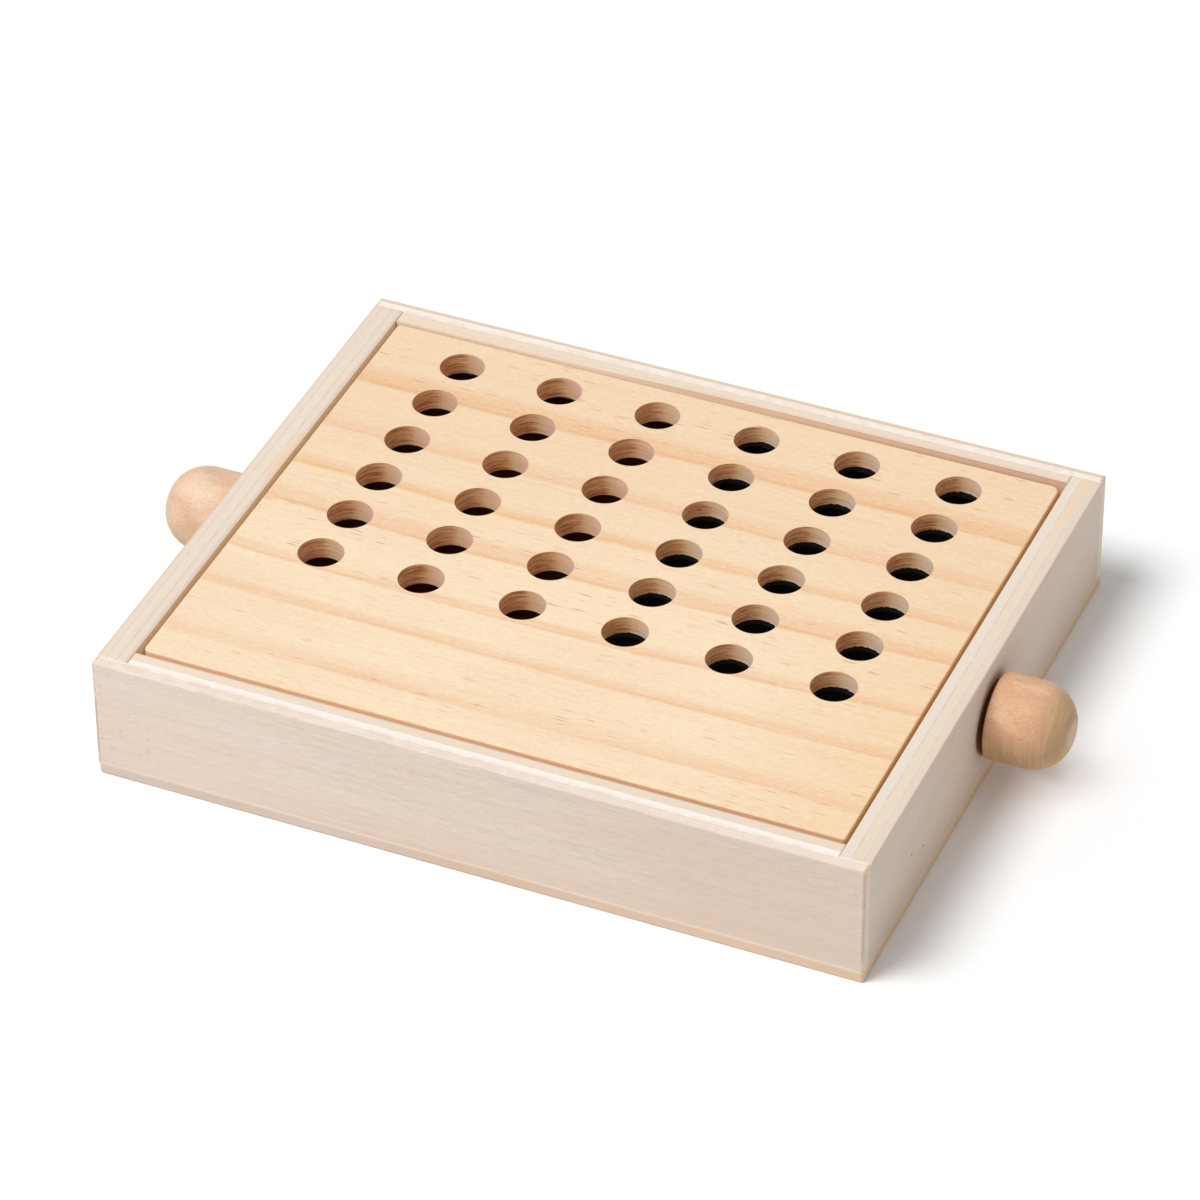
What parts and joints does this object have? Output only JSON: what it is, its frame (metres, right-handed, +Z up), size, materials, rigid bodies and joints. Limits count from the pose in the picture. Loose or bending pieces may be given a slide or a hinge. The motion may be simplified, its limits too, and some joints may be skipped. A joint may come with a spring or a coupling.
{
  "type": "four in a row game",
  "caption": "Wooden box with a lift-out four in a row board lying flush in its mouth, a knob on a dowel through each end, and loose discs stored beneath.",
  "frame": {"origin": "on the underside of the box, below the middle of its length and depth", "axes": "+X along the box's length, through the two knobs; +Y to the back, towards the holed half of the flat board; +Z up"},
  "size_m": [0.321, 0.22, 0.045],
  "materials": {
    "birch_plywood": "sanded, unvarnished",
    "floor_plywood": "sanded, unvarnished",
    "board_pine": "sanded, satin",
    "strip_pine": "sawn and sanded",
    "turned_knob": "turned and sanded, satin",
    "dowel": "turned",
    "light_disc": "satin lacquer",
    "dark_disc": "dark stain, satin lacquer"
  },
  "bodies": {
    "box": {"bottom_panel": "floor_plywood", "front_panel": "birch_plywood", "back_panel": "birch_plywood", "left_panel": "birch_plywood", "right_panel": "birch_plywood", "front_ledge": "strip_pine", "back_ledge": "strip_pine"},
    "board": {"face_plate": "board_pine", "rear_plate": "board_pine", "foot_strip": "strip_pine", "left_strip": "strip_pine", "right_strip": "strip_pine", "divider_1": "strip_pine", "divider_2": "strip_pine", "divider_3": "strip_pine", "divider_4": "strip_pine", "divider_5": "strip_pine"},
    "left_peg": {"left_knob": "turned_knob", "left_dowel": "dowel"},
    "right_peg": {"right_knob": "turned_knob", "right_dowel": "dowel"},
    "light_disc_01": {"light_disc_01": "light_disc"},
    "light_disc_02": {"light_disc_02": "light_disc"},
    "light_disc_03": {"light_disc_03": "light_disc"},
    "light_disc_04": {"light_disc_04": "light_disc"},
    "light_disc_05": {"light_disc_05": "light_disc"},
    "light_disc_06": {"light_disc_06": "light_disc"},
    "light_disc_07": {"light_disc_07": "light_disc"},
    "light_disc_08": {"light_disc_08": "light_disc"},
    "light_disc_09": {"light_disc_09": "light_disc"},
    "light_disc_10": {"light_disc_10": "light_disc"},
    "light_disc_11": {"light_disc_11": "light_disc"},
    "light_disc_12": {"light_disc_12": "light_disc"},
    "light_disc_13": {"light_disc_13": "light_disc"},
    "light_disc_14": {"light_disc_14": "light_disc"},
    "light_disc_15": {"light_disc_15": "light_disc"},
    "light_disc_16": {"light_disc_16": "light_disc"},
    "light_disc_17": {"light_disc_17": "light_disc"},
    "light_disc_18": {"light_disc_18": "light_disc"},
    "dark_disc_01": {"dark_disc_01": "dark_disc"},
    "dark_disc_02": {"dark_disc_02": "dark_disc"},
    "dark_disc_03": {"dark_disc_03": "dark_disc"},
    "dark_disc_04": {"dark_disc_04": "dark_disc"},
    "dark_disc_05": {"dark_disc_05": "dark_disc"},
    "dark_disc_06": {"dark_disc_06": "dark_disc"},
    "dark_disc_07": {"dark_disc_07": "dark_disc"},
    "dark_disc_08": {"dark_disc_08": "dark_disc"},
    "dark_disc_09": {"dark_disc_09": "dark_disc"},
    "dark_disc_10": {"dark_disc_10": "dark_disc"},
    "dark_disc_11": {"dark_disc_11": "dark_disc"},
    "dark_disc_12": {"dark_disc_12": "dark_disc"},
    "dark_disc_13": {"dark_disc_13": "dark_disc"},
    "dark_disc_14": {"dark_disc_14": "dark_disc"},
    "dark_disc_15": {"dark_disc_15": "dark_disc"},
    "dark_disc_16": {"dark_disc_16": "dark_disc"},
    "dark_disc_17": {"dark_disc_17": "dark_disc"},
    "dark_disc_18": {"dark_disc_18": "dark_disc"}
  },
  "joints": [
    {"name": "board_lift", "type": "slide", "parent": "box", "child": "board", "axis": [0, 0, 1], "range_m": [0, 0.09]},
    {"name": "left_peg_pull", "type": "slide", "parent": "box", "child": "left_peg", "axis": [-1, 0, 0], "range_m": [-0.0017, 0.024]},
    {"name": "right_peg_pull", "type": "slide", "parent": "box", "child": "right_peg", "axis": [1, 0, 0], "range_m": [-0.0017, 0.024]},
    {"name": "light_disc_01_lift", "type": "slide", "parent": "box", "child": "light_disc_01", "axis": [0, 0, 1], "range_m": [0, 0.054]},
    {"name": "light_disc_02_lift", "type": "slide", "parent": "box", "child": "light_disc_02", "axis": [0, 0, 1], "range_m": [0, 0.054]},
    {"name": "light_disc_03_lift", "type": "slide", "parent": "box", "child": "light_disc_03", "axis": [0, 0, 1], "range_m": [0, 0.054]},
    {"name": "light_disc_04_lift", "type": "slide", "parent": "box", "child": "light_disc_04", "axis": [0, 0, 1], "range_m": [0, 0.054]},
    {"name": "light_disc_05_lift", "type": "slide", "parent": "box", "child": "light_disc_05", "axis": [0, 0, 1], "range_m": [0, 0.054]},
    {"name": "light_disc_06_lift", "type": "slide", "parent": "box", "child": "light_disc_06", "axis": [0, 0, 1], "range_m": [0, 0.054]},
    {"name": "light_disc_07_lift", "type": "slide", "parent": "box", "child": "light_disc_07", "axis": [0, 0, 1], "range_m": [0, 0.054]},
    {"name": "light_disc_08_lift", "type": "slide", "parent": "box", "child": "light_disc_08", "axis": [0, 0, 1], "range_m": [0, 0.054]},
    {"name": "light_disc_09_lift", "type": "slide", "parent": "box", "child": "light_disc_09", "axis": [0, 0, 1], "range_m": [0, 0.054]},
    {"name": "light_disc_10_lift", "type": "slide", "parent": "box", "child": "light_disc_10", "axis": [0, 0, 1], "range_m": [0, 0.054]},
    {"name": "light_disc_11_lift", "type": "slide", "parent": "box", "child": "light_disc_11", "axis": [0, 0, 1], "range_m": [0, 0.054]},
    {"name": "light_disc_12_lift", "type": "slide", "parent": "box", "child": "light_disc_12", "axis": [0, 0, 1], "range_m": [0, 0.054]},
    {"name": "light_disc_13_lift", "type": "slide", "parent": "box", "child": "light_disc_13", "axis": [0, 0, 1], "range_m": [0, 0.054]},
    {"name": "light_disc_14_lift", "type": "slide", "parent": "box", "child": "light_disc_14", "axis": [0, 0, 1], "range_m": [0, 0.054]},
    {"name": "light_disc_15_lift", "type": "slide", "parent": "box", "child": "light_disc_15", "axis": [0, 0, 1], "range_m": [0, 0.054]},
    {"name": "light_disc_16_lift", "type": "slide", "parent": "box", "child": "light_disc_16", "axis": [0, 0, 1], "range_m": [0, 0.054]},
    {"name": "light_disc_17_lift", "type": "slide", "parent": "box", "child": "light_disc_17", "axis": [0, 0, 1], "range_m": [0, 0.054]},
    {"name": "light_disc_18_lift", "type": "slide", "parent": "box", "child": "light_disc_18", "axis": [0, 0, 1], "range_m": [0, 0.054]},
    {"name": "dark_disc_01_lift", "type": "slide", "parent": "box", "child": "dark_disc_01", "axis": [0, 0, 1], "range_m": [0, 0.054]},
    {"name": "dark_disc_02_lift", "type": "slide", "parent": "box", "child": "dark_disc_02", "axis": [0, 0, 1], "range_m": [0, 0.054]},
    {"name": "dark_disc_03_lift", "type": "slide", "parent": "box", "child": "dark_disc_03", "axis": [0, 0, 1], "range_m": [0, 0.054]},
    {"name": "dark_disc_04_lift", "type": "slide", "parent": "box", "child": "dark_disc_04", "axis": [0, 0, 1], "range_m": [0, 0.054]},
    {"name": "dark_disc_05_lift", "type": "slide", "parent": "box", "child": "dark_disc_05", "axis": [0, 0, 1], "range_m": [0, 0.054]},
    {"name": "dark_disc_06_lift", "type": "slide", "parent": "box", "child": "dark_disc_06", "axis": [0, 0, 1], "range_m": [0, 0.054]},
    {"name": "dark_disc_07_lift", "type": "slide", "parent": "box", "child": "dark_disc_07", "axis": [0, 0, 1], "range_m": [0, 0.054]},
    {"name": "dark_disc_08_lift", "type": "slide", "parent": "box", "child": "dark_disc_08", "axis": [0, 0, 1], "range_m": [0, 0.054]},
    {"name": "dark_disc_09_lift", "type": "slide", "parent": "box", "child": "dark_disc_09", "axis": [0, 0, 1], "range_m": [0, 0.054]},
    {"name": "dark_disc_10_lift", "type": "slide", "parent": "box", "child": "dark_disc_10", "axis": [0, 0, 1], "range_m": [0, 0.054]},
    {"name": "dark_disc_11_lift", "type": "slide", "parent": "box", "child": "dark_disc_11", "axis": [0, 0, 1], "range_m": [0, 0.054]},
    {"name": "dark_disc_12_lift", "type": "slide", "parent": "box", "child": "dark_disc_12", "axis": [0, 0, 1], "range_m": [0, 0.054]},
    {"name": "dark_disc_13_lift", "type": "slide", "parent": "box", "child": "dark_disc_13", "axis": [0, 0, 1], "range_m": [0, 0.054]},
    {"name": "dark_disc_14_lift", "type": "slide", "parent": "box", "child": "dark_disc_14", "axis": [0, 0, 1], "range_m": [0, 0.054]},
    {"name": "dark_disc_15_lift", "type": "slide", "parent": "box", "child": "dark_disc_15", "axis": [0, 0, 1], "range_m": [0, 0.054]},
    {"name": "dark_disc_16_lift", "type": "slide", "parent": "box", "child": "dark_disc_16", "axis": [0, 0, 1], "range_m": [0, 0.054]},
    {"name": "dark_disc_17_lift", "type": "slide", "parent": "box", "child": "dark_disc_17", "axis": [0, 0, 1], "range_m": [0, 0.054]},
    {"name": "dark_disc_18_lift", "type": "slide", "parent": "box", "child": "dark_disc_18", "axis": [0, 0, 1], "range_m": [0, 0.054]}
  ],
  "couplings": [
    {"joint": "light_disc_01_lift", "follows": "board_lift", "ratio": 0.6},
    {"joint": "light_disc_02_lift", "follows": "board_lift", "ratio": 0.6},
    {"joint": "light_disc_03_lift", "follows": "board_lift", "ratio": 0.6},
    {"joint": "light_disc_04_lift", "follows": "board_lift", "ratio": 0.6},
    {"joint": "light_disc_05_lift", "follows": "board_lift", "ratio": 0.6},
    {"joint": "light_disc_06_lift", "follows": "board_lift", "ratio": 0.6},
    {"joint": "light_disc_07_lift", "follows": "board_lift", "ratio": 0.6},
    {"joint": "light_disc_08_lift", "follows": "board_lift", "ratio": 0.6},
    {"joint": "light_disc_09_lift", "follows": "board_lift", "ratio": 0.6},
    {"joint": "light_disc_10_lift", "follows": "board_lift", "ratio": 0.6},
    {"joint": "light_disc_11_lift", "follows": "board_lift", "ratio": 0.6},
    {"joint": "light_disc_12_lift", "follows": "board_lift", "ratio": 0.6},
    {"joint": "light_disc_13_lift", "follows": "board_lift", "ratio": 0.6},
    {"joint": "light_disc_14_lift", "follows": "board_lift", "ratio": 0.6},
    {"joint": "light_disc_15_lift", "follows": "board_lift", "ratio": 0.6},
    {"joint": "light_disc_16_lift", "follows": "board_lift", "ratio": 0.6},
    {"joint": "light_disc_17_lift", "follows": "board_lift", "ratio": 0.6},
    {"joint": "light_disc_18_lift", "follows": "board_lift", "ratio": 0.6},
    {"joint": "dark_disc_01_lift", "follows": "board_lift", "ratio": 0.6},
    {"joint": "dark_disc_02_lift", "follows": "board_lift", "ratio": 0.6},
    {"joint": "dark_disc_03_lift", "follows": "board_lift", "ratio": 0.6},
    {"joint": "dark_disc_04_lift", "follows": "board_lift", "ratio": 0.6},
    {"joint": "dark_disc_05_lift", "follows": "board_lift", "ratio": 0.6},
    {"joint": "dark_disc_06_lift", "follows": "board_lift", "ratio": 0.6},
    {"joint": "dark_disc_07_lift", "follows": "board_lift", "ratio": 0.6},
    {"joint": "dark_disc_08_lift", "follows": "board_lift", "ratio": 0.6},
    {"joint": "dark_disc_09_lift", "follows": "board_lift", "ratio": 0.6},
    {"joint": "dark_disc_10_lift", "follows": "board_lift", "ratio": 0.6},
    {"joint": "dark_disc_11_lift", "follows": "board_lift", "ratio": 0.6},
    {"joint": "dark_disc_12_lift", "follows": "board_lift", "ratio": 0.6},
    {"joint": "dark_disc_13_lift", "follows": "board_lift", "ratio": 0.6},
    {"joint": "dark_disc_14_lift", "follows": "board_lift", "ratio": 0.6},
    {"joint": "dark_disc_15_lift", "follows": "board_lift", "ratio": 0.6},
    {"joint": "dark_disc_16_lift", "follows": "board_lift", "ratio": 0.6},
    {"joint": "dark_disc_17_lift", "follows": "board_lift", "ratio": 0.6},
    {"joint": "dark_disc_18_lift", "follows": "board_lift", "ratio": 0.6}
  ]
}
